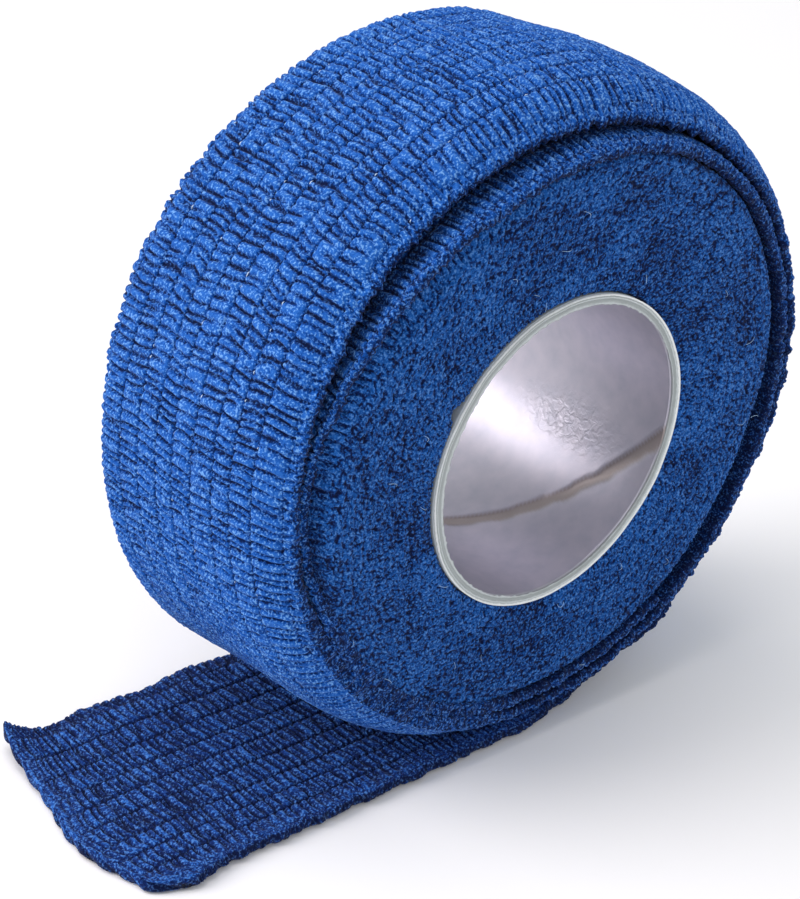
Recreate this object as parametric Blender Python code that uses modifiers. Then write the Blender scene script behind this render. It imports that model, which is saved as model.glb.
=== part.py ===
"""Cohesive bandage roll: crepe cloth wound on a paper tube, with its loose end laid out flat.

Frame: +Z up, +Y along the roll's axis away from the front face, -X towards the cut end.
The origin lies on the resting plane straight under the roll's axis, half way across the width.
Run with: blender --background --factory-startup --python part.py
"""

import math

import bmesh
import bpy

MM = 0.001

# Driving dimensions
WIDTH = 25.0 * MM  # cut width of the bandage
HALF = WIDTH / 2
CLOTH = 1.2 * MM  # one relaxed turn of the crepe cloth
CLEARANCE = 0.3 * MM  # air left between neighbouring pieces
AXIS_HEIGHT = 30.5 * MM

# Paper tube
TUBE_RADIUS = 14.9 * MM
TUBE_WALL = 0.9 * MM
TUBE_LENGTH = 25.4 * MM
TUBE_LIP = 0.2 * MM  # rounding of the rim's edges
TUBE_SIDES = 60

# Wound cloth: its outermost turn is looser than the rest, so its radii differ round the roll.
# Each row is a direction seen from the front, measured from +X up towards +Z.
# rim: radius of the front selvedge; crown: radius of the middle; back: radius of the back
# selvedge; shift: how far the outermost turn's front selvedge has slipped back. All in mm.
TURN_COLUMNS = ("angle", "rim", "crown", "back", "shift")
TURN_ROWS = (
    (0, 30.4, 31.3, 30.8, 0.3),
    (30, 30.4, 32.3, 31.5, 0.2),
    (60, 30.7, 33.2, 31.9, 0.8),
    (90, 31.0, 33.7, 32.6, 1.6),
    (120, 30.9, 33.3, 32.8, 2.0),
    (150, 30.6, 33.0, 32.9, 1.8),
    (180, 30.0, 32.1, 31.8, 1.2),
    (210, 28.4, 31.1, 31.4, 0.4),
    (240, 27.3, 29.9, 30.8, 0.0),
    (270, 27.4, 29.1, 29.0, 0.0),
    (300, 30.0, 30.5, 30.3, 0.6),
    (330, 30.0, 30.7, 30.4, 0.8),
)
JOIN_ANGLE = 308.1  # the outermost turn begins here, where the loose end meets it
JOIN_STEP = 0.4  # degrees between the sections on the two sides of the butt step
THINNING_ANGLES = (262.0, 300.0)  # between these the second turn comes to the outside
LIP = 0.15 * MM  # what stays of the outermost turn's profile where it has left the roll
ROLL_SIDES = 80
GROOVE_DEPTH = 0.6 * MM  # between the face and the second turn
SECOND_TURN_LIFT = 0.1 * MM  # how far the second turn's selvedge stands in front of the width
FACE_CROWN = 0.15 * MM  # the wound edges stand out most half way up the face

# Loose end: it lies flat, then climbs to the join. lift: angle past the lowest point of the
# roll and the distance of its underside from the axis, in mm.
LIFT_ROWS = ((11.0, 31.4), (16.0, 31.3), (22.0, 31.15), (30.0, 31.0), (37.5, 30.75))
# cut end: position across the width as a fraction of the half width, and its x in mm
CUT_ROWS = (
    (-1.0, -37.6),
    (-0.9, -40.2),
    (-0.65, -41.7),
    (-0.38, -42.6),
    (0.03, -42.1),
    (0.33, -41.0),
    (0.61, -40.4),
    (0.8, -40.1),
    (1.0, -39.4),
)
CUT_REACH = -42.6 * MM  # the farthest point of the cut end
STRIP_NEAR, STRIP_FAR = -11.5 * MM, 13.0 * MM  # its two selvedges: it has drifted to the back
FLARE = 1.0 * MM  # the corners of the cut end spread by up to this
FAR_FLARE_SHARE = 0.4
FLARE_REACH = 9.0 * MM
CORNER_LIFT = 1.8 * MM  # the back corner stands off the surface a little
SELVEDGE_WAVE = 0.25 * MM  # the back selvedge is drawn in and let out by this much
SELVEDGE_WAVE_LENGTH = 11.0 * MM
FLAT_STEPS = 22
STRIP_START = -36.0 * MM  # from here on the sections are square to the length


def between(rows, column, value):
    """Reads a column of a table of rows at a value of its first column, by straight lines."""
    for low, high in zip(rows, rows[1:]):
        if low[0] <= value <= high[0]:
            part = (value - low[0]) / (high[0] - low[0])
            return low[column] + part * (high[column] - low[column])
    return rows[0][column] if value < rows[0][0] else rows[-1][column]


def round_the_roll(column_name, angle):
    """Reads a column of TURN_ROWS at any angle, by a smooth curve that closes on itself."""
    column = TURN_COLUMNS.index(column_name)
    count = len(TURN_ROWS)
    step = 360.0 / count
    row = int(angle // step) % count
    part = (angle % step) / step
    before, start, end, after = (TURN_ROWS[(row + k) % count][column] for k in (-1, 0, 1, 2))
    slope_in = (end - before) / 2
    slope_out = (after - start) / 2
    rise = end - start
    value = start + part * (slope_in + part * (3 * rise - 2 * slope_in - slope_out
                                               + part * (slope_in + slope_out - 2 * rise)))
    return value * MM


def clear_scene():
    for old in list(bpy.data.objects):
        bpy.data.objects.remove(old, do_unlink=True)


def make_material(name, colour, roughness):
    material = bpy.data.materials.new(name)
    material.use_nodes = True
    shader = material.node_tree.nodes["Principled BSDF"]
    shader.inputs["Base Color"].default_value = (*colour, 1.0)
    shader.inputs["Roughness"].default_value = roughness
    shader.inputs["Metallic"].default_value = 0.0
    return material


def place(name, mesh, material, collection):
    item = bpy.data.objects.new(name, mesh)
    item.data.materials.append(material)
    collection.objects.link(item)
    return item


def build_core(collection):
    """The paper tube: its wall's section with small rounded lips, turned about the axis."""
    inner = TUBE_RADIUS - TUBE_WALL
    top = TUBE_LENGTH / 2
    section = [
        (TUBE_RADIUS - TUBE_LIP, top),
        (TUBE_RADIUS, top - TUBE_LIP),
        (TUBE_RADIUS, -top + TUBE_LIP),
        (TUBE_RADIUS - TUBE_LIP, -top),
        (inner + TUBE_LIP, -top),
        (inner, -top + TUBE_LIP),
        (inner, top - TUBE_LIP),
        (inner + TUBE_LIP, top),
    ]
    mesh = bpy.data.meshes.new("core_tube")
    edges = [(k, (k + 1) % len(section)) for k in range(len(section))]
    mesh.from_pydata([(radius, 0.0, height) for radius, height in section], edges, [])
    card = make_material("grey_paperboard", (0.62, 0.64, 0.66), 0.55)
    core = place("core_tube", mesh, card, collection)
    core.location = (0.0, 0.0, AXIS_HEIGHT)
    core.rotation_euler = (math.radians(90), 0.0, 0.0)
    turn = core.modifiers.new("turned", "SCREW")
    turn.steps = TUBE_SIDES
    turn.render_steps = TUBE_SIDES
    turn.use_merge_vertices = True
    turn.merge_threshold = 0.00001
    return core


def thinning(angle):
    """0 where the outermost turn is on the roll, rising smoothly to 1 where it has left it."""
    start, end = THINNING_ANGLES
    part = min(max((angle - start) / (end - start), 0.0), 1.0)
    return part * part * (3 - 2 * part)


def roll_section(angle, thin):
    """The wound cloth's section in one direction, as (radius, y), once round from the bore.

    thin is 0 where the outermost turn is part of the section and 1 where it has left the roll.
    """
    loss = thin * (CLOTH + CLEARANCE)
    second_out = round_the_roll("rim", angle) - CLOTH - thin * (CLEARANCE + LIP)
    rim = round_the_roll("rim", angle) - loss
    crown = round_the_roll("crown", angle) - loss
    back = round_the_roll("back", angle) - loss
    shift = round_the_roll("shift", angle)
    layer = rim - second_out
    bore = TUBE_RADIUS + CLEARANCE
    half_way = (bore + rim) / 2
    front = -HALF + shift
    groove = second_out - CLOTH
    shoulder = rim + 0.55 * (crown - rim)
    return [
        (bore, -HALF + 0.3 * MM),
        (bore + 2.0 * MM, -HALF),
        (half_way, -HALF - FACE_CROWN),
        (groove - 0.5 * MM, -HALF + 0.1 * MM),
        (groove - 0.2 * MM, -HALF + GROOVE_DEPTH),
        (groove, -HALF),
        (second_out - 0.1 * MM, -HALF - SECOND_TURN_LIFT),
        (second_out, front + 0.4 * MM),
        (second_out + 0.2 * layer, front),
        (second_out + 0.8 * layer, front + 0.05 * MM),
        (rim, front + 0.4 * MM),
        (shoulder, front + 1.6 * MM),
        (crown, front + 4.5 * MM),
        (crown, 4.0 * MM),
        (back, HALF - 1.5 * MM),
        (back - 0.2 * layer, HALF),
        (back - 0.8 * layer, HALF + 0.1 * MM),
        (back - layer, HALF - 0.2 * MM),
        (back - layer - CLOTH, HALF),
        (half_way, HALF + FACE_CROWN),
        (bore + 2.0 * MM, HALF),
        (bore, HALF - 0.3 * MM),
    ]


def roll_stations():
    """The sections' directions and thinning: even steps, and a butt step where the turn begins."""
    step = 360.0 / ROLL_SIDES
    stations = []
    for index in range(ROLL_SIDES):
        angle = index * step
        on_the_roll = angle > JOIN_ANGLE + JOIN_STEP
        stations.append((angle, 0.0 if on_the_roll else thinning(angle)))
    stations.append((JOIN_ANGLE, thinning(JOIN_ANGLE)))
    stations.append((JOIN_ANGLE + JOIN_STEP, 0.0))
    return sorted(stations)


def build_wound_roll(collection):
    """The wound cloth: a closed ring lofted through its sections, flat where it rests."""
    lowest = CLOTH + CLEARANCE
    shape = bmesh.new()
    rings = []
    for angle, thin in roll_stations():
        turn = math.radians(angle)
        ring = []
        for radius, y in roll_section(angle, thin):
            height = max(AXIS_HEIGHT + radius * math.sin(turn), lowest)
            ring.append(shape.verts.new((radius * math.cos(turn), y, height)))
        rings.append(ring)
    points = len(rings[0])
    for index, ring in enumerate(rings):
        following = rings[(index + 1) % len(rings)]
        for k in range(points):
            after = (k + 1) % points
            shape.faces.new((ring[k], ring[after], following[after], following[k]))
    bmesh.ops.recalc_face_normals(shape, faces=shape.faces)
    mesh = bpy.data.meshes.new("wound_roll")
    shape.to_mesh(mesh)
    shape.free()
    cloth = make_material("blue_cohesive_crepe", (0.01, 0.09, 0.40), 0.85)
    return place("wound_roll", mesh, cloth, collection)


def strip_stations():
    """Stations along the loose end's underside, each with its x and z, from the cut end on."""
    flat_end = AXIS_HEIGHT * math.tan(math.radians(LIFT_ROWS[0][0]))
    run = flat_end - STRIP_START
    stations = [(STRIP_START + run * k / FLAT_STEPS, 0.0) for k in range(1, FLAT_STEPS + 1)]
    for angle, distance in LIFT_ROWS[1:]:
        turn = math.radians(angle)
        stations.append((distance * MM * math.sin(turn), AXIS_HEIGHT - distance * MM * math.cos(turn)))
    return stations


def edge_place(fraction, x):
    """Distance across the width: an uneven selvedge, and flares at the corners of the cut end."""
    near_cut = min(max(1.0 - (x - CUT_REACH) / FLARE_REACH, 0.0), 1.0)
    share = FAR_FLARE_SHARE if fraction > 0 else 1.0
    flare = FLARE * share * near_cut ** 2 * fraction ** 3
    wave = SELVEDGE_WAVE * max(fraction, 0.0) ** 5 * math.sin(2 * math.pi * x / SELVEDGE_WAVE_LENGTH)
    middle = (STRIP_NEAR + STRIP_FAR) / 2
    return middle + fraction * (STRIP_FAR - STRIP_NEAR) / 2 + flare + wave


def corner_lift(fraction, x):
    near_cut = min(max(1.0 - (x - CUT_REACH) / FLARE_REACH, 0.0), 1.0)
    return CORNER_LIFT * near_cut ** 2 * max(fraction, 0.0) ** 3


def build_loose_end(collection):
    """The loose end: one layer of cloth, flat on the surface, its cut end uneven."""
    fractions = [row[0] for row in CUT_ROWS]
    lines = [[(f, x * MM, corner_lift(f, x * MM)) for f, x in CUT_ROWS]]
    for x, z in [(STRIP_START, 0.0)] + strip_stations():
        lines.append([(f, x, z) for f in fractions])
    shape = bmesh.new()
    sections = []
    for line in lines:
        sections.append([shape.verts.new((x, edge_place(f, x), z)) for f, x, z in line])
    for section, following in zip(sections, sections[1:]):
        for k in range(len(fractions) - 1):
            shape.faces.new((section[k], following[k], following[k + 1], section[k + 1]))
    bmesh.ops.triangulate(shape, faces=shape.faces)
    mesh = bpy.data.meshes.new("loose_end")
    shape.to_mesh(mesh)
    shape.free()
    cloth = make_material("blue_cohesive_crepe_inside", (0.01, 0.07, 0.30), 0.85)
    strip = place("loose_end", mesh, cloth, collection)
    layer = strip.modifiers.new("cloth_thickness", "SOLIDIFY")
    layer.thickness = CLOTH
    layer.offset = 1.0
    layer.use_even_offset = True
    return strip


def main():
    clear_scene()
    collection = bpy.data.collections.new("cohesive_bandage_roll")
    bpy.context.scene.collection.children.link(collection)
    build_core(collection)
    build_wound_roll(collection)
    build_loose_end(collection)


main()
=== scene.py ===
"""The looks of the cohesive bandage roll: creped cloth, its wound edges, loose end and paper tube.

Every length of the roll is in millimetres until a mesh is written, and the camera, the lights
and the floor are in metres. Angles are degrees measured from +X up towards +Z, seen from the
front of the roll. The roll's axis runs along +Y.
"""
import math

import bpy
import numpy as np
from mathutils import Matrix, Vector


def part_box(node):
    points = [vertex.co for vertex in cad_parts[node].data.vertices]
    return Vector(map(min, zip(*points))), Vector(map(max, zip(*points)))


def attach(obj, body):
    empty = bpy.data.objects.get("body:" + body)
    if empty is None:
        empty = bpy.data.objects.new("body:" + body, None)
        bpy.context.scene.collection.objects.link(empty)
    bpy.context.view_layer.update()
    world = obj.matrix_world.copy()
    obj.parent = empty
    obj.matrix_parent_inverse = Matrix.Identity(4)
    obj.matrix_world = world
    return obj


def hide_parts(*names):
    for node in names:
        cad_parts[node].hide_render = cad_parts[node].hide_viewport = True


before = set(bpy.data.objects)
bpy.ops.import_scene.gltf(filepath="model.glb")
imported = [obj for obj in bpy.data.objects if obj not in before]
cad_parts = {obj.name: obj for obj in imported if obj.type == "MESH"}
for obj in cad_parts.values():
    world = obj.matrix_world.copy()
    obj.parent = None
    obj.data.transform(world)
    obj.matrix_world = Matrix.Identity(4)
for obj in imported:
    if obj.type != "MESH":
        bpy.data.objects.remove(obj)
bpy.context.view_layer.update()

MM = 0.001
# a UV unit is 100 mm of cloth
UV_A_MM = 0.01

# ---------------------------------------------------------------- sizes of the roll
TUBE_LOW, TUBE_HIGH = (np.array(corner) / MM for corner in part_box("core_tube"))
AXIS_Z = (TUBE_LOW[2] + TUBE_HIGH[2]) / 2
TUBE_OUT = (TUBE_HIGH[0] - TUBE_LOW[0]) / 2
TUBE_WALL = 0.9
TUBE_FRONT = TUBE_LOW[1]
CLOTH_BORE = TUBE_OUT + 0.06
HALF = 12.5
CLOTH = 1.2
GAP_BELOW = 0.25
JOIN = 308.1
TURN_START = JOIN - 360.0
MEAN_RADIUS = 31.0
MM_A_DEGREE = math.radians(1) * MEAN_RADIUS
FACE_START = -45
FACE_MIDDLE = 22.0
FACE_LENGTH = 2 * math.pi * FACE_MIDDLE

# the outer turn: angle, radius at the front selvedge, in the middle and at the back selvedge,
# and how far its front selvedge has slipped back. It starts at the loose end and ends below it.
OUTER_TURN = np.array((
    (-60, 30.9, 31.0, 30.8, 1.4),
    (-30, 30.0, 30.7, 30.4, 0.8),
    (0, 30.4, 31.3, 30.8, 0.3),
    (30, 30.4, 32.3, 31.5, 0.2),
    (60, 30.7, 33.2, 31.9, 0.8),
    (90, 31.0, 33.7, 32.6, 1.7),
    (120, 30.9, 33.2, 32.8, 2.3),
    (150, 30.7, 33.0, 32.8, 2.1),
    (180, 30.0, 32.1, 31.8, 1.2),
    (210, 28.4, 31.1, 31.4, 0.4),
    (240, 27.3, 29.9, 30.8, 0.0),
    (270, 27.2, 28.9, 28.8, 0.0),
    (300, 28.0, 28.6, 28.4, 0.0),
    (330, 28.8, 28.9, 28.8, 0.0),
))
RIM, CROWN, BACK, SLIP = 1, 2, 3, 4
# the distance over which it swells from its front selvedge, and how far its back edge is rounded
RIM_SWELL = 2.1
BACK_ROUNDING = 0.9
# the lengths it is made in: name, first and last angle, and sections, which are closest on top
OUTER_LENGTHS = (
    ("outer_turn_start", TURN_START, 50.0, 360),
    ("outer_turn_top", 50.0, 170.0, 760),
    ("outer_turn_end", 170.0, JOIN, 690),
)

# the second turn where it shows in front: angle, radius at its selvedge, radius under the outer
# turn, and how far it stands back from the front face
SECOND_TURN = np.array((
    (-60, 28.0, 28.3, 0.0),
    (-30, 28.8, 28.9, 0.1),
    (0, 29.2, 29.3, 0.1),
    (30, 29.2, 29.3, 0.1),
    (60, 29.1, 29.4, 0.0),
    (90, 28.7, 29.1, 0.0),
    (110, 28.4, 28.6, 0.0),
    (125, 28.9, 28.4, 0.1),
    (140, 29.2, 28.3, 0.4),
    (155, 29.1, 28.3, 1.2),
    (170, 28.7, 28.7, 2.0),
    (185, 28.1, 28.2, 1.9),
    (200, 27.4, 27.5, 0.5),
    (220, 26.5, 26.6, 0.0),
    (250, 26.0, 26.1, 0.0),
    (280, 26.1, 26.2, 0.0),
    (312, 27.0, 27.1, 0.0),
))
SECOND_RIM, SECOND_DEEP, SECOND_BACK = 1, 2, 3
SECOND_SECTIONS = 1180

# the front face, the edges of all the turns further in: angle, radius where it turns back,
# radius that the third turn reaches behind that, and how far its ridges show there
FACE_EDGE = np.array((
    (-45, 26.1, 26.3, 0.0),
    (-30, 26.1, 26.3, 0.0),
    (-15, 26.5, 26.7, 0.0),
    (0, 27.2, 27.4, 0.0),
    (30, 27.7, 27.9, 0.0),
    (60, 27.8, 28.0, 0.0),
    (90, 27.4, 27.8, 0.2),
    (105, 26.9, 27.5, 0.6),
    (120, 26.4, 27.9, 1.0),
    (135, 26.3, 28.3, 1.0),
    (150, 26.7, 28.4, 1.0),
    (165, 26.8, 28.0, 1.0),
    (180, 26.7, 27.4, 0.8),
    (195, 26.3, 26.7, 0.3),
    (220, 25.3, 25.5, 0.0),
    (250, 24.8, 25.0, 0.0),
    (280, 24.9, 25.1, 0.0),
    (300, 25.6, 25.8, 0.0),
    (315, 26.1, 26.3, 0.0),
))
FACE_RIM, FACE_DEEP, FACE_RIDGES = 1, 2, 3
FRONT_SECTIONS = 900
NOTCH_ANGLE = 150

# the back face: angle and the radius of its rim
BACK_EDGE = np.array(((-45, 28.0), (-15, 28.4), (0, 28.6), (30, 29.2), (60, 29.9), (90, 30.1),
                      (120, 30.2), (150, 30.1), (180, 29.5), (210, 29.1), (240, 28.4),
                      (270, 26.7), (300, 26.6), (315, 28.0)))
BACK_RIM = 1
BACK_SECTIONS = 500
# rings of points on the front face, on the back face, and where the front face turns back
FRONT_RINGS, BACK_RINGS, RETURN_RINGS = 86, 66, 14

# the loose end's underside where it climbs: angle past the lowest point, distance from the axis
LIFT_ROWS = np.array(((11.0, 31.4), (16.0, 31.3), (22.0, 31.15), (30.0, 31.0), (38.1, 30.75)))
# the cut end: place across the width as a share of half the width, and x
CUT_ROWS = np.array(((-1.0, -38.4), (-0.9, -41.0), (-0.65, -42.3), (-0.38, -43.2), (0.03, -42.8),
                     (0.33, -41.5), (0.61, -40.7), (0.8, -40.2), (1.0, -39.4)))
CUT_X = 1
CUT_REACH = -43.2
STRIP_NEAR, STRIP_FAR = -11.5, 13.0
STRIP_SECTIONS = 520
# more than the strip's whole length, so that its ridges reach the cut end
STRIP_LENGTH = 70.0

# ---------------------------------------------------------------- the crepe
CHANNELS = 9
FRONT_SELVEDGE, BACK_SELVEDGE = 0.5, 1.3
RIDGE_PITCH = 0.82
RIDGE_HEIGHT = 0.55
VALLEY_HALF = 0.13
THREAD_WANDER = 0.14
# sizes of the nubs and pits of felt, of the fuzz on the cloth, of the steps along a ragged
# selvedge, and of the patches where the cloth is a little lighter or darker
NUB = 0.44
PIT_ALONG, PIT_ACROSS = 0.7, 0.6
FUZZ = 0.26
RAGGED = 0.8
PATCH_ALONG, PATCH_ACROSS = 5.0, 3.0
# every random pattern adds its own number to this one
SEED = 41

HEX = {
    "crest": "2462b8",
    "cloth": "0d4a9c",
    # the ramps' dark ends, valley, pit, face_low and inside_low, are painted shade: the cloth's valleys
    # and pits are coloured darker than its crests
    "valley": "00245c",
    "pit": "02123a",
    "lint": "7cb0e8",
    "face_low": "03225a",
    "face": "0d4a94",
    "face_high": "2464b6",
    "inside_low": "08173f",
    "inside": "0a2560",
    "inside_high": "1b448c",
    "thread": "c9def5",
    "fibre": "a8c8ea",
    "ply_outer": "f2f6f7",
    "ply_core": "a3aaab",
    "ply_inner": "cfd6d8",
    "liner": "c4bfc9",
    "liner_dark": "a7a8b6",
    "ply_bare": "9f9694",
    "floor": "fafafa",
}


def linear(name):
    """An sRGB hex colour of the table above, as linear red, green, blue and alpha."""
    code = HEX[name]
    channels = [int(code[k:k + 2], 16) / 255 for k in (0, 2, 4)]
    return tuple(c / 12.92 if c <= 0.04045 else ((c + 0.055) / 1.055) ** 2.4 for c in channels) + (1.0,)


# ---------------------------------------------------------------- numbers on arrays
def smooth(low, high, x):
    """0 below low, 1 above high and the cubic 3t^2 - 2t^3 between them."""
    t = np.clip((x - low) / (high - low), 0.0, 1.0)
    return t * t * (3 - 2 * t)


def along(rows, column, x):
    """A column of a table at any x: a cubic through its rows, with the slopes of their neighbours."""
    places = rows[:, 0]
    values = rows[:, column]
    slopes = np.gradient(values, places)
    k = np.clip(np.searchsorted(places, x, side="right") - 1, 0, len(places) - 2)
    width = places[k + 1] - places[k]
    t = np.clip((x - places[k]) / width, 0.0, 1.0)
    rise = values[k + 1] - values[k]
    return values[k] + t * (slopes[k] * width + t * (
        3 * rise - (2 * slopes[k] + slopes[k + 1]) * width
        + t * ((slopes[k] + slopes[k + 1]) * width - 2 * rise)))


def lattice_noise(x, y, seed, period=None):
    """Value noise: random heights in -1..1 at whole x and y, joined by the cubic of smooth().

    period, where given, is the whole number of x steps after which the noise repeats.
    """
    table = np.random.default_rng(seed).uniform(-1, 1, (256, 256))
    x, y = np.broadcast_arrays(x, y)
    x0 = np.floor(x).astype(int)
    y0 = np.floor(y).astype(int)
    tx = smooth(0, 1, x - x0)
    ty = smooth(0, 1, y - y0)
    left = x0 % period if period else x0
    right = (x0 + 1) % period if period else x0 + 1
    corner = [table[a % 256, b % 256] for a in (left, right) for b in (y0, y0 + 1)]
    low = corner[0] * (1 - ty) + corner[1] * ty
    high = corner[2] * (1 - ty) + corner[3] * ty
    return low * (1 - tx) + high * tx


def nub_distance(x, y, seed, period=None):
    """Distance to the nearest and second nearest of points scattered one to each unit square."""
    rng = np.random.default_rng(seed)
    shift_x = rng.uniform(0.1, 0.9, (256, 256))
    shift_y = rng.uniform(0.1, 0.9, (256, 256))
    x, y = np.broadcast_arrays(x, y)
    x0 = np.floor(x).astype(int)
    y0 = np.floor(y).astype(int)
    nearest = np.full(x.shape, 9.0)
    second = np.full(x.shape, 9.0)
    for dx in (-1, 0, 1):
        for dy in (-1, 0, 1):
            a = x0 + dx
            b = y0 + dy
            wrapped = a % period if period else a
            px = a + shift_x[wrapped % 256, b % 256]
            py = b + shift_y[wrapped % 256, b % 256]
            d = np.hypot(px - x, py - y)
            second = np.where(d < nearest, nearest, np.minimum(second, d))
            nearest = np.minimum(nearest, d)
    return nearest, second


def felt(along_mm, across_mm, seed, period_mm=None):
    """Felted nubs of selvedges seen end on, -0.4..1: round nubs NUB across, finer ones on them,
    and pits where a slow noise is high and two nubs meet. period_mm makes it close on itself.
    """
    steps = (NUB, NUB / 2, PIT_ALONG)
    periods = [int(round(period_mm / step)) if period_mm else None for step in steps]
    sizes = [period_mm / n if period_mm else step for n, step in zip(periods, steps)]
    near, second = nub_distance(along_mm / sizes[0], across_mm / NUB, seed, periods[0])
    fine, _ = nub_distance(along_mm / sizes[1], across_mm / NUB * 2, seed + 1, periods[1])
    slow = lattice_noise(along_mm / sizes[2], across_mm / PIT_ACROSS, seed + 2, periods[2])
    crack = 1 - smooth(0.0, 0.35, second - near)
    pits = smooth(0.15, 0.7, slow) * (0.3 + 0.7 * crack)
    return 0.95 * (1 - near) + 0.5 * (1 - fine) - 0.42 - 0.40 * pits


# ---------------------------------------------------------------- the turns of the roll
def outer_radius(angle, from_front):
    """Radius of the outer turn's outside, at a distance from its front selvedge.

    It swells from the selvedge by 1 - exp(-d / RIM_SWELL) up to the middle, eases to the back's
    radius by smooth(), and is rounded off at the back selvedge.
    """
    rim = along(OUTER_TURN, RIM, angle)
    crown = along(OUTER_TURN, CROWN, angle)
    back = along(OUTER_TURN, BACK, angle)
    swell = rim + (crown - rim) * (1 - np.exp(-np.maximum(from_front, 0) / RIM_SWELL))
    ease = smooth(0.45, 1.0, from_front / (2 * HALF))
    round_back = BACK_ROUNDING * smooth(0.93, 1.0, from_front / (2 * HALF))
    return swell + (back - crown) * ease - round_back


def thread_places():
    """Places across the width of the elastic threads, and of the two selvedges."""
    places = np.linspace(-HALF + FRONT_SELVEDGE, HALF - BACK_SELVEDGE, CHANNELS + 1)
    places[1:-1] += np.random.default_rng(SEED).uniform(-0.2, 0.2, CHANNELS - 1)
    return np.concatenate([[-HALF], places, [HALF]])


THREADS = thread_places()


class Crepe:
    """The ridges between the elastic threads, as a height over a length of cloth.

    Each strip between two threads has its own row of valleys at uneven distances. A valley is
    exp(-(d / w)^2) deep at a distance d from its middle line, which bows along the cloth by
    b sin(pi t), and its half width w grows to a lens in the middle of the strip by sin(pi t).
    The ridges are rounded between the valleys, and everything sinks at the threads.
    """

    def __init__(self, seed, start, end):
        self.seed = seed
        self.rows = []
        count = int((end - start + 8) / (RIDGE_PITCH * 0.6))
        for strip in range(len(THREADS) - 1):
            rng = np.random.default_rng(seed + strip)
            valleys = start - 4 + np.cumsum(RIDGE_PITCH * rng.uniform(0.68, 1.32, count))
            self.rows.append({
                "valley": valleys,
                "bow": rng.normal(0.0, 0.10, count),
                "lens": rng.uniform(0.0, 0.09, count) + np.where(rng.random(count) < 0.16, 0.13, 0),
                "depth": rng.uniform(0.6, 1.0, count),
                "fade": rng.choice([-1.0, 0.0, 0.0, 0.0, 1.0], count) * rng.uniform(0.4, 1.0, count),
                "crest": rng.uniform(0.86, 1.0, count),
            })

    def height(self, s, v):
        """Height in 0..1 and nearness to a thread in 0..1."""
        wandering = v + THREAD_WANDER * lattice_noise(s / 5.0, 3.0, self.seed + 50)
        strip = np.clip(np.searchsorted(THREADS, wandering) - 1, 0, len(THREADS) - 2)
        left = THREADS[strip]
        width = THREADS[strip + 1] - left
        t = np.clip((wandering - left) / width, 0.0, 1.0)
        bow = 0.26 * lattice_noise(s / 7.0, strip * 1.7, self.seed + 60)
        slant = 0.5 * lattice_noise(s / 9.0, strip * 2.3, self.seed + 61)
        wiggle = 0.07 * lattice_noise(s / 0.7, wandering / 0.6, self.seed + 62)
        place = s + bow * 4 * t * (1 - t) + slant * (t - 0.5) + wiggle
        height = np.zeros_like(s)
        for k, row in enumerate(self.rows):
            here = strip == k
            p = place[here]
            across = t[here]
            belly = np.sin(np.pi * across)
            cell = np.clip(np.searchsorted(row["valley"], p) - 1, 1, len(row["valley"]) - 3)
            u = (p - row["valley"][cell]) / (row["valley"][cell + 1] - row["valley"][cell])
            crest = row["crest"][cell] * (0.84 + 0.16 * np.sin(np.pi * np.clip(u, 0, 1)))
            sink = np.zeros_like(p)
            for near in (-1, 0, 1, 2):
                j = cell + near
                middle = row["valley"][j] + row["bow"][j] * belly
                half = VALLEY_HALF + row["lens"][j] * belly
                fade = row["fade"][j]
                end = np.where(fade > 0, across, 1 - across)
                depth = row["depth"][j] * (1 - np.abs(fade) * smooth(0.3, 0.85, end))
                sink = np.maximum(sink, depth * np.exp(-((p - middle) / half) ** 2))
            height[here] = crest * (1 - sink)
        edge = np.minimum(t, 1 - t) * width
        selvedge = (strip == 0) | (strip == len(THREADS) - 2)
        pinch = np.where(selvedge, 0.8, 1 - 0.7 * np.exp(-(edge / 0.13) ** 2))
        near_thread = np.where(selvedge, 0.0, np.exp(-(edge / 0.12) ** 2))
        return height * pinch, near_thread


def strip_samples(shares, front=3, back=5):
    """Places across the width: the same shares of every strip, and the selvedges' own."""
    places = [np.linspace(-HALF, THREADS[1], front)[:-1]]
    for low, high in zip(THREADS[1:-2], THREADS[2:-1]):
        places.append(low + (high - low) * np.array(shares))
    places.append(np.linspace(THREADS[-2], HALF, back))
    return np.concatenate(places)


# ---------------------------------------------------------------- meshes
def new_piece(name, points, faces, uv, extra, material):
    """A mesh object from arrays: points in millimetres, four-cornered faces, a UV per point."""
    mesh = bpy.data.meshes.new(name)
    mesh.vertices.add(len(points))
    mesh.vertices.foreach_set("co", (points * MM).astype(np.float32).ravel())
    mesh.loops.add(faces.size)
    mesh.loops.foreach_set("vertex_index", faces.astype(np.int32).ravel())
    mesh.polygons.add(len(faces))
    mesh.polygons.foreach_set("loop_start", np.arange(0, faces.size, faces.shape[1], dtype=np.int32))
    mesh.polygons.foreach_set("loop_total", np.full(len(faces), faces.shape[1], np.int32))
    mesh.update(calc_edges=True)
    layer = mesh.uv_layers.new(name="UVMap")
    layer.data.foreach_set("uv", uv[faces.ravel()].astype(np.float32).ravel())
    for key, values in extra.items():
        attribute = mesh.attributes.new(key, "FLOAT", "POINT")
        attribute.data.foreach_set("value", values.astype(np.float32).ravel())
    mesh.shade_smooth()
    piece = bpy.data.objects.new(name, mesh)
    piece.data.materials.append(material)
    bpy.context.scene.collection.objects.link(piece)
    return piece


def grid_faces(rows, columns, wrap_rows=False, wrap_columns=False):
    """The four-cornered faces of a grid of points, rows by columns."""
    r = np.arange(rows if wrap_rows else rows - 1)[:, None]
    c = np.arange(columns if wrap_columns else columns - 1)[None, :]
    a = r * columns + c
    b = r * columns + (c + 1) % columns
    d = ((r + 1) % rows) * columns + c
    e = ((r + 1) % rows) * columns + (c + 1) % columns
    return np.stack([a, d, e, b], -1).reshape(-1, 4)


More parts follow.
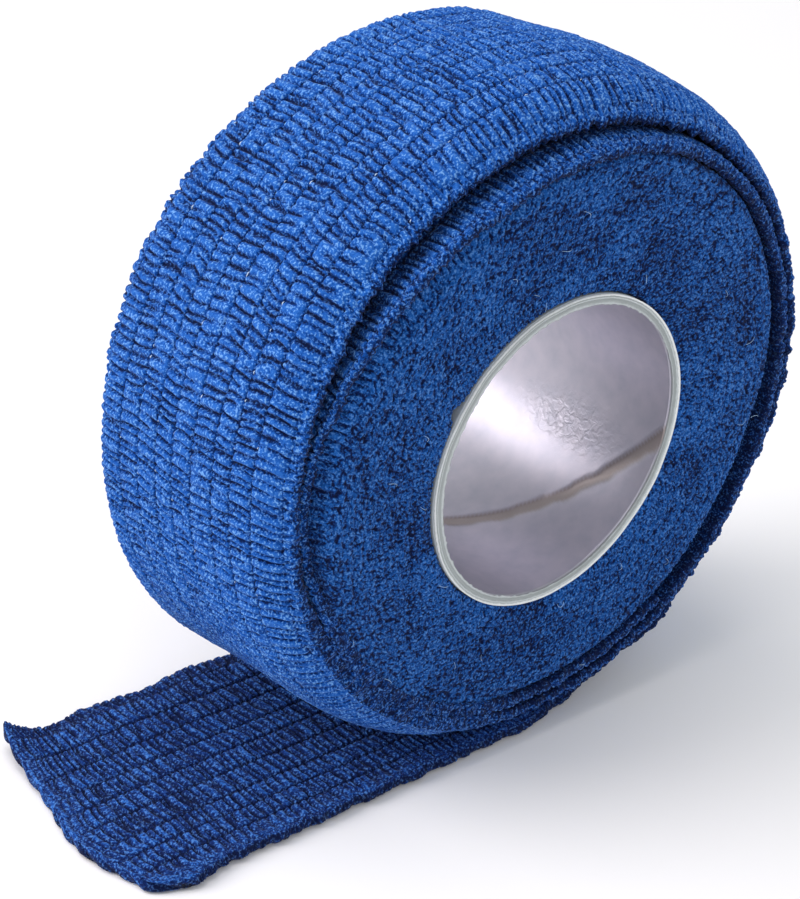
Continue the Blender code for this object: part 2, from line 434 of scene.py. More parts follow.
def outward(points, faces):
    """The faces turned so that the volume they enclose is positive."""
    p = [points[faces[:, k]] for k in range(4)]
    volume = np.einsum("ij,ij->i", p[0], np.cross(p[1], p[2])).sum()
    volume += np.einsum("ij,ij->i", p[0], np.cross(p[2], p[3])).sum()
    return faces if volume > 0 else faces[:, ::-1]


def through_sections(name, sections, uv, extra, material, ring):
    """A closed solid through sections that are each a closed loop of points.

    ring joins the last section to the first. Otherwise each end is closed by quads between the
    two halves of its loop, whose counts match.
    """
    rows, columns = sections.shape[:2]
    points = sections.reshape(-1, 3)
    faces = grid_faces(rows, columns, wrap_rows=ring, wrap_columns=True)
    if not ring:
        k = np.arange(columns // 2 - 1)
        cap = np.stack([k, k + 1, columns - 2 - k, columns - 1 - k], -1)
        last = (rows - 1) * columns
        faces = np.concatenate([faces, cap, last + cap[:, ::-1]])
    faces = outward(points, faces)
    return new_piece(name, points, faces, uv.reshape(-1, 2),
                     {k: v.reshape(-1) for k, v in extra.items()}, material)


def wound(radius, angle, y):
    """Points at a radius from the roll's axis, in a direction, at a place along the axis."""
    turn = np.radians(angle)
    return np.stack([radius * np.cos(turn), y, AXIS_Z + radius * np.sin(turn)], -1)


# ---------------------------------------------------------------- materials
# grains of each pattern to a millimetre: the cloth's flecks and clumps of fibre, the liner's
# mottling and wrinkles, and the pulp of the cut board
FLECKS, CLUMPS = 4.6, 1.9
LINER_MOTTLE, LINER_WRINKLES = 0.7, 1.5
BOARD_PULP = 2.5


def add(tree, kind, settings=None, inputs=None):
    """One shader node with its settings, its fixed inputs and what is linked into it."""
    node = tree.nodes.new(kind)
    for key, value in (settings or {}).items():
        setattr(node, key, value)
    for key, value in (inputs or {}).items():
        if isinstance(value, bpy.types.NodeSocket):
            tree.links.new(value, node.inputs[key])
        else:
            node.inputs[key].default_value = value
    return node


def new_material(name):
    """An empty node material."""
    material = bpy.data.materials.new(name)
    material.use_nodes = True
    material.node_tree.nodes.clear()
    return material, material.node_tree


def set_ramp(node, stops):
    """The colours of a ramp node: stops are (place, colour name)."""
    elements = node.color_ramp.elements
    while len(elements) < len(stops):
        elements.new(0.5)
    for element, (place, colour) in zip(elements, stops):
        element.position = place
        element.color = linear(colour)


def crepe_material(name, stops, lint_share):
    """Elastic crepe: nonwoven fibre web gathered on elastic threads and dipped in latex.

    Matt and fibrous: pale flecks of lint lie mostly on the crests. Its colour follows the tone of
    the relief through a ramp, saturated and dark in the valleys and pits, which is painted shade.
    The flecks are about 0.2 mm, ten times the real fibres' width, so that they show.
    """
    material, tree = new_material(name)
    place = add(tree, "ShaderNodeTexCoord").outputs["Object"]
    # height carries the relief's tone, together with the painted light and shade that the pieces add to
    # it
    height = add(tree, "ShaderNodeAttribute", {"attribute_name": "height"}).outputs["Fac"]
    patch = add(tree, "ShaderNodeAttribute", {"attribute_name": "patch"}).outputs["Fac"]
    fibre = add(tree, "ShaderNodeTexNoise",
                inputs={"Vector": place, "Scale": FLECKS / MM, "Detail": 1.0, "Roughness": 0.6})
    clump = add(tree, "ShaderNodeTexNoise",
                inputs={"Vector": place, "Scale": CLUMPS / MM, "Detail": 2.0, "Roughness": 0.6,
                        "Distortion": 0.8})
    grain = add(tree, "ShaderNodeMath", {"operation": "MULTIPLY_ADD"},
                {0: fibre.outputs["Fac"], 1: 1.4, 2: -0.7})
    mottle = add(tree, "ShaderNodeMath", {"operation": "MULTIPLY_ADD"},
                 {0: clump.outputs["Fac"], 1: 0.7, 2: grain.outputs[0]})
    lifted = add(tree, "ShaderNodeMath", {"operation": "MULTIPLY_ADD"},
                 {0: patch, 1: 0.06, 2: height})
    tone = add(tree, "ShaderNodeMath", {"operation": "ADD"},
               {0: lifted.outputs[0], 1: mottle.outputs[0]})
    toned = add(tree, "ShaderNodeMath", {"operation": "SUBTRACT"}, {0: tone.outputs[0], 1: 0.37})
    # the ramp darkens where the tone is low: painted shade in the valleys and pits
    colour = add(tree, "ShaderNodeValToRGB", inputs={"Fac": toned.outputs[0]})
    set_ramp(colour, stops)
    fleck = add(tree, "ShaderNodeMapRange", {"interpolation_type": "SMOOTHSTEP"},
                {"Value": fibre.outputs["Fac"], "From Min": 0.53, "From Max": 0.66})
    crest = add(tree, "ShaderNodeMapRange",
                inputs={"Value": lifted.outputs[0], "From Min": 0.1, "From Max": 0.9,
                        "To Min": 0.12, "To Max": 1.0})
    shown = add(tree, "ShaderNodeMath", {"operation": "MULTIPLY"},
                {0: fleck.outputs[0], 1: crest.outputs[0]})
    share = add(tree, "ShaderNodeMath", {"operation": "MULTIPLY"}, {0: shown.outputs[0], 1: lint_share})
    linted = add(tree, "ShaderNodeMix", {"data_type": "RGBA"},
                 {0: share.outputs[0], 6: colour.outputs["Color"], 7: linear("lint")})
    coarse = add(tree, "ShaderNodeBump",
                 inputs={"Strength": 0.7, "Distance": 0.2 * MM, "Height": clump.outputs["Fac"]})
    fine = add(tree, "ShaderNodeBump",
               inputs={"Strength": 0.7, "Distance": 0.12 * MM, "Height": fibre.outputs["Fac"],
                       "Normal": coarse.outputs["Normal"]})
    shader = add(tree, "ShaderNodeBsdfPrincipled",
                 inputs={"Base Color": linted.outputs[2], "Roughness": 0.85, "IOR": 1.45,
                         "Sheen Weight": 0.05, "Sheen Roughness": 0.5,
                         "Specular IOR Level": 0.12, "Normal": fine.outputs["Normal"]})
    add(tree, "ShaderNodeOutputMaterial", inputs={"Surface": shader.outputs["BSDF"]})
    return material


def plain_material(name, colour, finish):
    """An even material: one colour and one shader with its finish's fixed inputs."""
    material, tree = new_material(name)
    shader = add(tree, "ShaderNodeBsdfPrincipled", inputs={"Base Color": linear(colour), **finish})
    add(tree, "ShaderNodeOutputMaterial", inputs={"Surface": shader.outputs["BSDF"]})
    return material


def thread_material():
    """Latex elastic thread: a smooth pale filament that glints where it shows."""
    return plain_material("latex_elastic_thread", "thread", {"Roughness": 0.3, "IOR": 1.52})


def fibre_material():
    """Loose viscose fibres of the web: pale, thin and matt."""
    return plain_material("loose_viscose_fibre", "fibre", {"Roughness": 0.7, "IOR": 1.53})


def floor_material():
    """Matt white paper sweep: it takes the roll's soft shadow and shows no highlight."""
    return plain_material("matt_white_paper", "floor", {"Roughness": 0.9, "Specular IOR Level": 0.0})


def liner_material():
    """Tube liner: calendered, faintly pearly paper.

    Its satin, partly metallic finish lets light from the far end of the bore run along it. A bare
    strip of board shows at the open side of its spiral seam, and fine wrinkles where it crinkles.
    """
    material, tree = new_material("calendered_liner_paper")
    place = add(tree, "ShaderNodeTexCoord").outputs["Object"]
    bare = add(tree, "ShaderNodeAttribute", {"attribute_name": "bare"}).outputs["Fac"]
    crinkle = add(tree, "ShaderNodeAttribute", {"attribute_name": "crinkle"}).outputs["Fac"]
    grain = add(tree, "ShaderNodeTexNoise",
                inputs={"Vector": place, "Scale": LINER_MOTTLE / MM, "Detail": 4.0})
    tint = add(tree, "ShaderNodeMix", {"data_type": "RGBA"},
               {0: grain.outputs["Fac"], 6: linear("liner_dark"), 7: linear("liner")})
    colour = add(tree, "ShaderNodeMix", {"data_type": "RGBA"},
                 {0: bare, 6: tint.outputs[2], 7: linear("ply_bare")})
    wrinkle = add(tree, "ShaderNodeTexNoise",
                  inputs={"Vector": place, "Scale": LINER_WRINKLES / MM, "Detail": 3.0,
                          "Distortion": 0.6})
    relief = add(tree, "ShaderNodeMath", {"operation": "MULTIPLY"},
                 {0: wrinkle.outputs["Fac"], 1: crinkle})
    bump = add(tree, "ShaderNodeBump",
               inputs={"Strength": 0.8, "Distance": 0.2 * MM, "Height": relief.outputs[0]})
    shader = add(tree, "ShaderNodeBsdfPrincipled",
                 inputs={"Base Color": colour.outputs[2], "Metallic": 0.7,
                         "Roughness": 0.4, "Normal": bump.outputs["Normal"]})
    add(tree, "ShaderNodeOutputMaterial", inputs={"Surface": shader.outputs["BSDF"]})
    return material


def ply_material():
    """The tube's cut ends: grey recycled plies, matt, with a paler one among them and a white one
    outside.
    """
    material, tree = new_material("cut_paperboard_plies")
    place = add(tree, "ShaderNodeTexCoord").outputs["Object"]
    ply = add(tree, "ShaderNodeAttribute", {"attribute_name": "ply"}).outputs["Fac"]
    grain = add(tree, "ShaderNodeTexNoise",
                inputs={"Vector": place, "Scale": BOARD_PULP / MM, "Detail": 3.0})
    tone = add(tree, "ShaderNodeMath", {"operation": "MULTIPLY_ADD"},
               {0: grain.outputs["Fac"], 1: 0.16, 2: ply})
    colour = add(tree, "ShaderNodeValToRGB", inputs={"Fac": tone.outputs[0]})
    set_ramp(colour, ((0.12, "ply_inner"), (0.32, "ply_core"), (0.60, "ply_core"),
                      (0.72, "ply_inner"), (0.84, "ply_core"), (0.97, "ply_outer")))
    bump = add(tree, "ShaderNodeBump",
               inputs={"Strength": 0.5, "Distance": 0.1 * MM, "Height": grain.outputs["Fac"]})
    shader = add(tree, "ShaderNodeBsdfPrincipled",
                 inputs={"Base Color": colour.outputs["Color"], "Roughness": 0.8, "IOR": 1.5,
                         "Normal": bump.outputs["Normal"]})
    add(tree, "ShaderNodeOutputMaterial", inputs={"Surface": shader.outputs["BSDF"]})
    return material


# ---------------------------------------------------------------- the outer turns
ACROSS_SHARES = (0.0, 0.045, 0.10, 0.30, 0.50, 0.70, 0.90, 0.955)
RIM_STEPS = np.radians(np.linspace(14, 166, 9))[None, :]


def rolled_edge(radius, y, side, thickness, s, flush, seed):
    """A selvedge seen end on: a half round of the cloth's thickness with felted nubs on it.

    It runs from the outside of the cloth to its inside: radius - t/2 (1 - cos a) and
    y + side (0.3 + nubs) sin a, squarer where flush is 1. Returns radius, y and a tone: the
    nubs', plus 0.3 cos a where it is not flush, which is painted light on the edge's outer side
    and painted shade towards its inside.
    """
    nubs = felt(s, RIM_STEPS * thickness * 0.6, seed)
    out = (0.30 + 0.20 * (nubs - 0.3)) * np.sin(RIM_STEPS) ** (1 - 0.85 * flush)
    half = thickness / 2 + 0.05 * lattice_noise(s / 0.9, 2.0, seed + 5)
    # painted light and shade: the tone is raised by 0.3 cos a on the edge's outer side and lowered
    # towards its inside
    tone = 0.75 * nubs + 0.30 * np.cos(RIM_STEPS) * (1 - flush)
    return radius - half * (1 - np.cos(RIM_STEPS)), y + side * out, tone


def cloth_band(name, angle, v, s, radius, y, thickness, tones, material):
    """A turn of cloth as a closed band: its outside, rolled selvedges and plain inside.

    The inside follows the outside at three places across, one thickness nearer the axis.
    """
    flush = felted_flush(angle)
    front_r, front_y, front_tone_with_painted_light = rolled_edge(radius[:, :1], y[:, :1], -1, thickness, s, flush,
                                               SEED + 90)
    back_r, back_y, back_tone_with_painted_light = rolled_edge(radius[:, -1:], y[:, -1:], 1, thickness, s, 0 * flush,
                                            SEED + 95)
    few = np.linspace(0, v.shape[1] - 1, 5).astype(int)[1:-1]
    inner_r = radius[:, few] - thickness
    all_r = np.concatenate([radius, back_r, inner_r[:, ::-1], front_r[:, ::-1]], 1)
    all_y = np.concatenate([y, back_y, y[:, few][:, ::-1], front_y[:, ::-1]], 1)
    height, patch = tones
    inner = np.full(inner_r.shape, 0.3)
    all_height = np.concatenate([height, back_tone_with_painted_light, inner, front_tone_with_painted_light[:, ::-1]], 1)
    edge_patch = np.repeat(patch[:, :1], all_r.shape[1] - v.shape[1], 1)
    extra = {"height": all_height, "patch": np.concatenate([patch, edge_patch], 1)}
    uv = np.stack([s + 0 * all_r, all_y], -1) * UV_A_MM
    sections = wound(all_r, angle + 0 * all_r, all_y)
    return through_sections(name, sections, uv, extra, material, ring=False)


def felted_zone(angle, v):
    """How far the crepe is pressed flat and felted: all round below from the left, most behind."""
    return smooth(186, 226, angle) * (0.55 + 0.45 * smooth(-10, 4, v))


def felted_flush(angle):
    """Where the selvedges are pressed together at the lower left: 1 there and 0 elsewhere."""
    return smooth(188, 206, angle) * (1 - smooth(252, 270, angle))


def build_outer_turn(name, start, end, count, crepe, material):
    """One length of the outer turn. Its outside is outer_radius + RIDGE_HEIGHT (relief - 0.55).

    Where it is felted, most of the ridges give way to nap. It stays above the loose end by
    GAP_BELOW. The front selvedge slips back by the table's amount, and the back one stays put.
    """
    angle = np.linspace(start, end, count)[:, None]
    v = strip_samples(ACROSS_SHARES)[None, :]
    s = (angle - TURN_START) * MM_A_DEGREE
    full_angle, full_s, full_v = np.broadcast_arrays(angle, s, v)
    relief, thread = crepe.height(full_s, full_v)
    fuzz = lattice_noise(full_s / FUZZ, full_v / FUZZ, SEED + 81)
    nap = felt(full_s, full_v, SEED + 82)
    press = felted_zone(full_angle, full_v)
    relief = relief * (1 - 0.62 * press) + (0.28 + 0.30 * nap) * press
    patch = lattice_noise(full_s / PATCH_ALONG, full_v / PATCH_ACROSS, SEED + 80)
    radius = outer_radius(full_angle, full_v + HALF) + RIDGE_HEIGHT * (relief - 0.55) + 0.03 * fuzz
    lowest = AXIS_Z - CLOTH - GAP_BELOW
    limit = lowest / np.maximum(-np.sin(np.radians(full_angle)), 0.1)
    radius = np.minimum(radius, limit)
    slip = along(OUTER_TURN, SLIP, full_angle)
    ragged = 0.22 * lattice_noise(full_s / RAGGED, np.sign(full_v) * 5.0, SEED + 70)
    y = full_v + slip * (HALF - full_v) / (2 * HALF) + ragged * (full_v / HALF) ** 8
    # the tone is raised along the front selvedge and falls off within about half a millimetre of it
    front_selvedge_lighter = 0.25 * np.exp(-(full_v + HALF) / 0.45)
    height = relief + front_selvedge_lighter + 0.25 * thread * (fuzz > 0.45)
    flush = felted_flush(angle)
    gap = radius[:, :1] - along(SECOND_TURN, SECOND_RIM, angle) + 0.1
    thickness = (CLOTH - 0.2) * (1 - flush) + gap * flush
    return cloth_band(name, angle, v, s, radius, y, thickness, (height, patch), material)


def build_second_turn(crepe, material):
    """The second turn, as deep as it shows past the outer one's slipped selvedge.

    Its radius goes from the rim's to the deep one by 1 - exp(-d / 1.2) of the distance d. Its
    ridges are toned down by up to half from 0.8 to 2.2 mm behind its selvedge: painted shade
    under the outer turn's rim.
    """
    angle = np.linspace(TURN_START, JOIN, SECOND_SECTIONS)[:, None]
    v = strip_samples(ACROSS_SHARES)[None, :]
    v = v[:, v[0] < -6.5]
    s = (angle - TURN_START) * MM_A_DEGREE
    full_angle, full_s, full_v = np.broadcast_arrays(angle, s, v)
    relief, thread = crepe.height(full_s, full_v)
    rim = along(SECOND_TURN, SECOND_RIM, full_angle)
    deep = along(SECOND_TURN, SECOND_DEEP, full_angle)
    radius = rim + (deep - rim) * (1 - np.exp(-(full_v + HALF) / 1.2))
    radius = radius + 0.5 * (relief - 0.6)
    y = full_v + along(SECOND_TURN, SECOND_BACK, full_angle)
    y = y + 0.18 * lattice_noise(full_s / RAGGED, 7.0, SEED + 71) * np.exp(-(full_v + HALF))
    # painted shade: the ridges further under the outer turn's rim are toned darker
    tone_with_painted_shade = relief * (1 - 0.5 * smooth(0.8, 2.2, full_v + HALF))
    patch = 0 * relief
    flush = felted_flush(angle)
    gap = radius[:, :1] - along(round_the_axis(FACE_EDGE), FACE_RIM, angle) + 0.15
    thickness = (CLOTH - 0.1) * (1 - flush) + gap * flush
    return cloth_band("second_turn", angle, v, s, radius, y, thickness, (tone_with_painted_shade, patch), material)


# ---------------------------------------------------------------- the wound edges
def round_the_axis(rows):
    """A table's rows with the ones before and after added, so that it closes round the roll."""
    before = rows[-3:-1].copy()
    before[:, 0] -= 360
    after = rows[1:3].copy()
    after[:, 0] += 360
    return np.concatenate([before, rows, after])


def build_front_face(crepe, material):
    """The edges of the inner turns: a disc of felted nubs from the tube to the third turn.

    The disc domes by sin(pi share), each turn swells by a cosine, and its rim turns back along
    the third turn, whose ridges show there by the table's share. It sinks beside the tube, most
    at the small notch. The slope back along the third turn is toned dark, and darker the further
    back it goes: painted shade in the groove.
    """
    share = np.linspace(0, 1, FRONT_RINGS)[None, :]
    back = np.linspace(0, 1, RETURN_RINGS)[None, 1:]
    angle = np.linspace(FACE_START, FACE_START + 360, FRONT_SECTIONS, endpoint=False)[:, None]
    rows = round_the_axis(FACE_EDGE)
    rim = along(rows, FACE_RIM, angle)
    deep = along(rows, FACE_DEEP, angle)
    ridges = along(rows, FACE_RIDGES, angle)
    radius = CLOTH_BORE + (rim - CLOTH_BORE) * share
    arc = (angle - FACE_START) / 360 * FACE_LENGTH + 0 * share
    skewed = arc + 0.35 * radius
    nubs = felt(skewed, radius, SEED + 100, FACE_LENGTH)
    hollow = lattice_noise(arc / FACE_LENGTH * 30, radius / 4.0, SEED + 104, 30)
    from_bore = radius - CLOTH_BORE
    turn_place = from_bore / CLOTH + 0.3 * lattice_noise(
        arc / FACE_LENGTH * 24, radius / 3.0, SEED + 105, 24)
    turns = 0.05 * np.cos(2 * np.pi * turn_place)
    dome = 0.12 * np.sin(np.pi * share) - 0.35 * np.exp(-from_bore / 0.35)
    notch = np.exp(-((angle - NOTCH_ANGLE) / 2.4) ** 2) * np.exp(-from_bore / 0.5)
    corner = -0.45 * np.exp(-(rim - radius) / 0.45) * (1 - felted_flush(angle % 360))
    out = dome + turns + 0.30 * (nubs - 0.35) + 0.10 * hollow + corner - 1.2 * notch
    face_y = -HALF - out
    slope_v = -HALF + 0.6 + 3.0 * back
    s = (angle - FACE_START) * MM_A_DEGREE
    relief, _ = crepe.height(s + 0 * slope_v, slope_v + 0 * s)
    start_y = face_y[:, -1:]
    ridge = ridges * (relief - 0.5)
    slope_r = rim + (deep - rim) * np.sin(np.pi / 2 * back) + 0.5 * ridge * smooth(0, 0.25, back)
    slope_y = start_y + (2.0 + 1.6 * (1 - ridges)) * back ** 1.2 - 0.2 * ridge
    wall_y = np.full((FRONT_SECTIONS, 2), -HALF + 4.5)
    wall_r = np.concatenate([rim, 0 * rim + CLOTH_BORE], 1)
    all_r = np.concatenate([radius, slope_r, wall_r], 1)
    all_y = np.concatenate([face_y, slope_y, wall_y], 1)
    # painted shade: the slope is toned dark, and darker the further back into the groove it goes
    slope_tone_with_painted_shade = 0.15 * (1 - ridges) + ridges * relief * (0.8 - 0.4 * back)
    height = np.concatenate([nubs + 0.1 * hollow, slope_tone_with_painted_shade, 0 * wall_y], 1)
    patch = np.concatenate([hollow, 0 * slope_r, 0 * wall_y], 1)
    uv = np.stack([arc[:, :1] + 0 * all_r, all_r], -1) * UV_A_MM
    sections = wound(all_r, angle + 0 * all_r, all_y)
    return through_sections("front_face", sections, uv, {"height": height, "patch": patch},
                            material, ring=True)


def build_back_face(material):
    """The edges of the turns on the far side: a flat disc of felted nubs out to the outer turn.

    It stands at y = HALF - 0.1, each turn swells by a cosine, and it sinks beside the tube.
    """
    share = np.linspace(0, 1, BACK_RINGS)[None, :]
    angle = np.linspace(FACE_START, FACE_START + 360, BACK_SECTIONS, endpoint=False)[:, None]
    rim = along(round_the_axis(BACK_EDGE), BACK_RIM, angle)
    radius = CLOTH_BORE + (rim - CLOTH_BORE) * share
    arc = (angle - FACE_START) / 360 * FACE_LENGTH + 0 * share
    nubs = felt(arc, radius, SEED + 110, FACE_LENGTH)
    from_bore = radius - CLOTH_BORE
    turns = 0.07 * np.cos(2 * np.pi * from_bore / CLOTH)
    y = HALF - 0.1 + 0.28 * (nubs - 0.35) + turns - 0.3 * np.exp(-from_bore / 0.35)
    wall_y = np.full((BACK_SECTIONS, 2), HALF - 4.0)
    all_r = np.concatenate([radius, rim, 0 * rim + CLOTH_BORE], 1)
    all_y = np.concatenate([y, wall_y], 1)
    height = np.concatenate([nubs, 0 * wall_y], 1)
    uv = np.stack([arc[:, :1] + 0 * all_r, all_r], -1) * UV_A_MM
    sections = wound(all_r, angle + 0 * all_r, all_y)
    return through_sections("back_face", sections, uv, {"height": height, "patch": 0 * height},
                            material, ring=True)


# ---------------------------------------------------------------- the loose end
ROUNDING = 3.0


def strip_line(count):
    """The loose end's underside in the XZ plane, from the cut end's reach to the join.

    It is flat, then goes through LIFT_ROWS, and is rounded by averaging over ROUNDING.
    """
    angles = np.linspace(LIFT_ROWS[0, 0], LIFT_ROWS[-1, 0], 60)
    distance = np.interp(angles, LIFT_ROWS[:, 0], LIFT_ROWS[:, 1])
    climb_x = distance * np.sin(np.radians(angles))
    climb_z = AXIS_Z - distance * np.cos(np.radians(angles))
    flat_x = np.linspace(CUT_REACH, climb_x[0], 200)[:-1]
    x = np.concatenate([flat_x, climb_x])
    z = np.concatenate([0 * flat_x, climb_z])
    length = np.concatenate([[0], np.cumsum(np.hypot(np.diff(x), np.diff(z)))])
    place = np.linspace(0, length[-1], count)
    x = np.interp(place, length, x)
    z = np.maximum(np.interp(place, length, z), 0.0)
    window = max(3, int(round(ROUNDING / (length[-1] / count))) | 1)
    padded = np.pad(z, window // 2, mode="edge")
    rounded = np.convolve(padded, np.ones(window) / window, mode="valid")
    keep = smooth(length[-1] - ROUNDING, length[-1] - 1, place)
    return x, rounded * (1 - keep) + z * keep, place - length[-1]


def build_loose_end(crepe_top, crepe_under, material):
    """One layer of cloth: its two creped sides, its selvedges, and the uneven cut end.

    Both sides are lifted off strip_line's path along its normal. Towards the cut end the cloth is
    stretched to CUT_ROWS, scalloped between the threads, and its far corner curls up.
    """
    x, z, s = strip_line(STRIP_SECTIONS)
    v = strip_samples((0.0, 0.05, 0.12, 0.31, 0.5, 0.69, 0.88, 0.95), 4, 5)[None, :]
    cut_x = along(CUT_ROWS, CUT_X, v[0] / HALF)
    strip = np.clip(np.searchsorted(THREADS, v[0]) - 1, 0, len(THREADS) - 2)
    t = (v[0] - THREADS[strip]) / (THREADS[strip + 1] - THREADS[strip])
    cut_x = cut_x - 0.4 * np.sin(np.pi * t) ** 0.6
    reach = 9.0
    near = np.clip(1 - (x - x[0]) / reach, 0, 1)[:, None]
    full_x = x[:, None] + (cut_x[None, :] - x[0]) * near
    s = s[:, None]
    full_s, full_v = np.broadcast_arrays(s, v)
    tangent = np.stack([np.gradient(x), np.gradient(z)], -1)
    tangent /= np.linalg.norm(tangent, axis=1, keepdims=True)
    normal = np.stack([-tangent[:, 1], tangent[:, 0]], -1)
    top, _ = crepe_top.height(full_s, full_v)
    under, _ = crepe_under.height(full_s, full_v)
    fuzz = lattice_noise(full_s / FUZZ, full_v / FUZZ, SEED + 121)
    nap = felt(full_s, full_v, SEED + 125)
    felted = smooth(-9.0, -12.0, full_v) * 0.7 + 0.8 * near ** 4
    felted = np.clip(felted, 0, 0.85)
    top = top * (1 - felted) + (0.75 + 0.4 * nap) * felted
    up = CLOTH - 0.30 + 0.52 * (top - 0.4) + 0.03 * fuzz
    down = 0.22 * (1 - under)
    across = (full_v + HALF) / (2 * HALF)
    far_corner = near ** 2 * np.maximum(full_v / HALF, 0) ** 3
    near_corner = near ** 2 * np.maximum(-full_v / HALF, 0) ** 3
    y = STRIP_NEAR + (STRIP_FAR - STRIP_NEAR) * across ** 1.15
    tuck = smooth(0, 9, full_x) * (1 - smooth(13, 19, full_x))
    y = y + 1.3 * tuck * (1 - across) + 0.4 * far_corner - near_corner
    wave = 0.25 * np.sin(2 * np.pi * full_x / 11.0)
    ragged = 0.2 * lattice_noise(full_s / RAGGED, np.sign(full_v) * 3.0, SEED + 123)
    y = y + (wave * (full_v > 0) + ragged) * np.abs(full_v / HALF) ** 5
    swell = np.maximum(0.25 * lattice_noise(full_s / 12, full_v / 9, SEED + 122), 0)
    raised = 1.7 * far_corner + swell * (1 - smooth(-34, -20, full_x))

    def level(height):
        lift = np.maximum(height + raised, 0.0)
        return np.stack([full_x + normal[:, :1] * lift, y, z[:, None] + normal[:, 1:] * lift], -1)

    upper = level(up)
    lower = level(down)
    steps = np.linspace(0, 1, 8)[None, 1:-1]

    def selvedge(a, b, side, seed):
        nubs = felt(s, steps * CLOTH, seed)
        mixed = a[:, None, :] * (1 - steps[..., None]) + b[:, None, :] * steps[..., None]
        mixed[:, :, 1] += side * (0.3 + 0.3 * (nubs - 0.3)) * np.sin(np.pi * steps)
        return mixed, nubs

    far, far_tone = selvedge(upper[:, -1], lower[:, -1], 1, SEED + 126)
    close, close_tone = selvedge(lower[:, 0], upper[:, 0], -1, SEED + 127)
    sections = np.concatenate([upper, far, lower[:, ::-1], close], 1)
    patch = lattice_noise(full_s / PATCH_ALONG, full_v / PATCH_ACROSS, SEED + 124)
    height = np.concatenate([top, far_tone, under[:, ::-1], close_tone], 1)
    all_patch = np.concatenate([patch, 0 * far_tone, patch, 0 * close_tone], 1)
    edge_v = np.full(far_tone.shape, HALF)
    all_v = np.concatenate([full_v, edge_v, full_v[:, ::-1], -edge_v], 1)
    uv = np.stack([s + 0 * all_v, all_v], -1) * UV_A_MM
    return through_sections("loose_end_cloth", sections, uv, {"height": height, "patch": all_patch},
                            material, ring=False)


# ---------------------------------------------------------------- the paper tube
SEAM_START, SEAM_SLOPE, SEAM_STEP = -5.0, 0.178, 0.12
BARE_FROM, BARE_TO = 1.2, 1.9
CRINKLE_ANGLE, CRINKLE_Y = -24, -2
LINER_SECTIONS, LINER_RINGS, TUBE_SECTIONS = 280, 106, 640
LINER_INSET = 0.25
PLIES = 3
FRAY = 0.16


def build_liner(material):
    """The bore's wall: r = inner radius, with a spiral seam where the liner's edge stands up.

    The seam runs at y = front + SEAM_SLOPE (SEAM_START - angle), and again a whole turn on. In
    front of it a strip that ends raggedly between BARE_FROM and BARE_TO has no liner on it and
    lies SEAM_STEP deeper.
    """
    angle = np.linspace(-180, 180, LINER_SECTIONS, endpoint=False)[:, None]
    front_end = TUBE_FRONT + LINER_INSET
    y = np.linspace(front_end, -front_end, LINER_RINGS)[None, :]
    inner = TUBE_OUT - TUBE_WALL
    wander = 0.12 * lattice_noise(angle / 6, 0.0, SEED + 131)
    seam_y = TUBE_FRONT + SEAM_SLOPE * (SEAM_START - angle)
    seam_y = seam_y + wander + 360 * SEAM_SLOPE * (angle > SEAM_START)
    ahead = seam_y - y
    torn = ahead + 0.3 * lattice_noise(angle / 3, 1.0, SEED + 132)
    bare = smooth(0.0, 0.1, ahead) * (1 - smooth(BARE_FROM, BARE_TO, torn))
    lip = np.exp(-((ahead + 0.05) / 0.09) ** 2)
    radius = inner + SEAM_STEP * bare - 0.05 * lip
    crinkle = np.exp(-((angle - CRINKLE_ANGLE) / 9) ** 2) * np.exp(-((y - CRINKLE_Y) / 4.5) ** 2)
    crumple = lattice_noise(angle / 1.6, y / 0.45, SEED + 133)
    radius = radius + 0.03 * crinkle * crumple
    outer = inner + 0.3
    all_r = np.concatenate([radius, np.full((len(angle), 2), outer)], 1)
    ends = np.array([[-front_end, front_end]])
    all_y = np.concatenate([y + 0 * angle, ends + 0 * angle], 1)
    pad = np.zeros((len(angle), 2))
    extra = {"bare": np.concatenate([bare, pad], 1), "crinkle": np.concatenate([crinkle, pad], 1)}
    uv = np.stack([angle / 360 + 0 * all_y, all_y / 25], -1)
    sections = wound(all_r, angle + 0 * all_r, all_y)
    return through_sections("tube_liner", sections, uv, extra, material, ring=True)


def build_tube(material):
    """The tube's wall turned about the axis, its plies standing a little apart on both rims.

    The inner edge of each rim is frayed by up to FRAY, in a few stretches of it.
    """
    angle = np.linspace(0, 360, TUBE_SECTIONS, endpoint=False)[:, None]
    inner = TUBE_OUT - TUBE_WALL + 0.02
    wall = np.linspace(inner, TUBE_OUT, 11)[None, :]
    share = (wall - inner) / (TUBE_OUT - inner)
    grooves = 0.06 * np.cos(PLIES * 2 * np.pi * share) + 0.05 * (share > 0.85)
    wobble = 0.05 * lattice_noise(angle / 360 * 40, 0.0, SEED + 134, 40)
    hairs = np.maximum(lattice_noise(angle / 360 * 250, 3.0, SEED + 135, 250), 0)
    fray = FRAY * hairs * np.exp(-share / 0.08) * smooth(0.2, 0.8, lattice_noise(
        angle / 360 * 7, 5.0, SEED + 136, 7) + 0.5)
    front_y = TUBE_FRONT - grooves + wobble
    back_y = -front_y
    front_r = wall - fray
    sides_y = np.linspace(TUBE_FRONT + 0.4, -TUBE_FRONT - 0.4, 4)[None, :] + 0 * angle
    outer_r = np.full(sides_y.shape, TUBE_OUT)
    inner_r = np.full(sides_y.shape, inner + 0.22)
    all_r = np.concatenate([front_r, outer_r, front_r[:, ::-1], inner_r], 1)
    all_y = np.concatenate([front_y, sides_y, back_y[:, ::-1], sides_y[:, ::-1]], 1)
    tone = share + 0 * angle
    flat = np.full(sides_y.shape, 0.5)
    ply = np.concatenate([tone, flat, tone[:, ::-1], flat], 1)
    uv = np.stack([angle / 360 + 0 * all_y, all_y / 25], -1)
    sections = wound(all_r, angle + 0 * all_r, all_y)
    return through_sections("paper_tube", sections, uv, {"ply": ply}, material, ring=True)


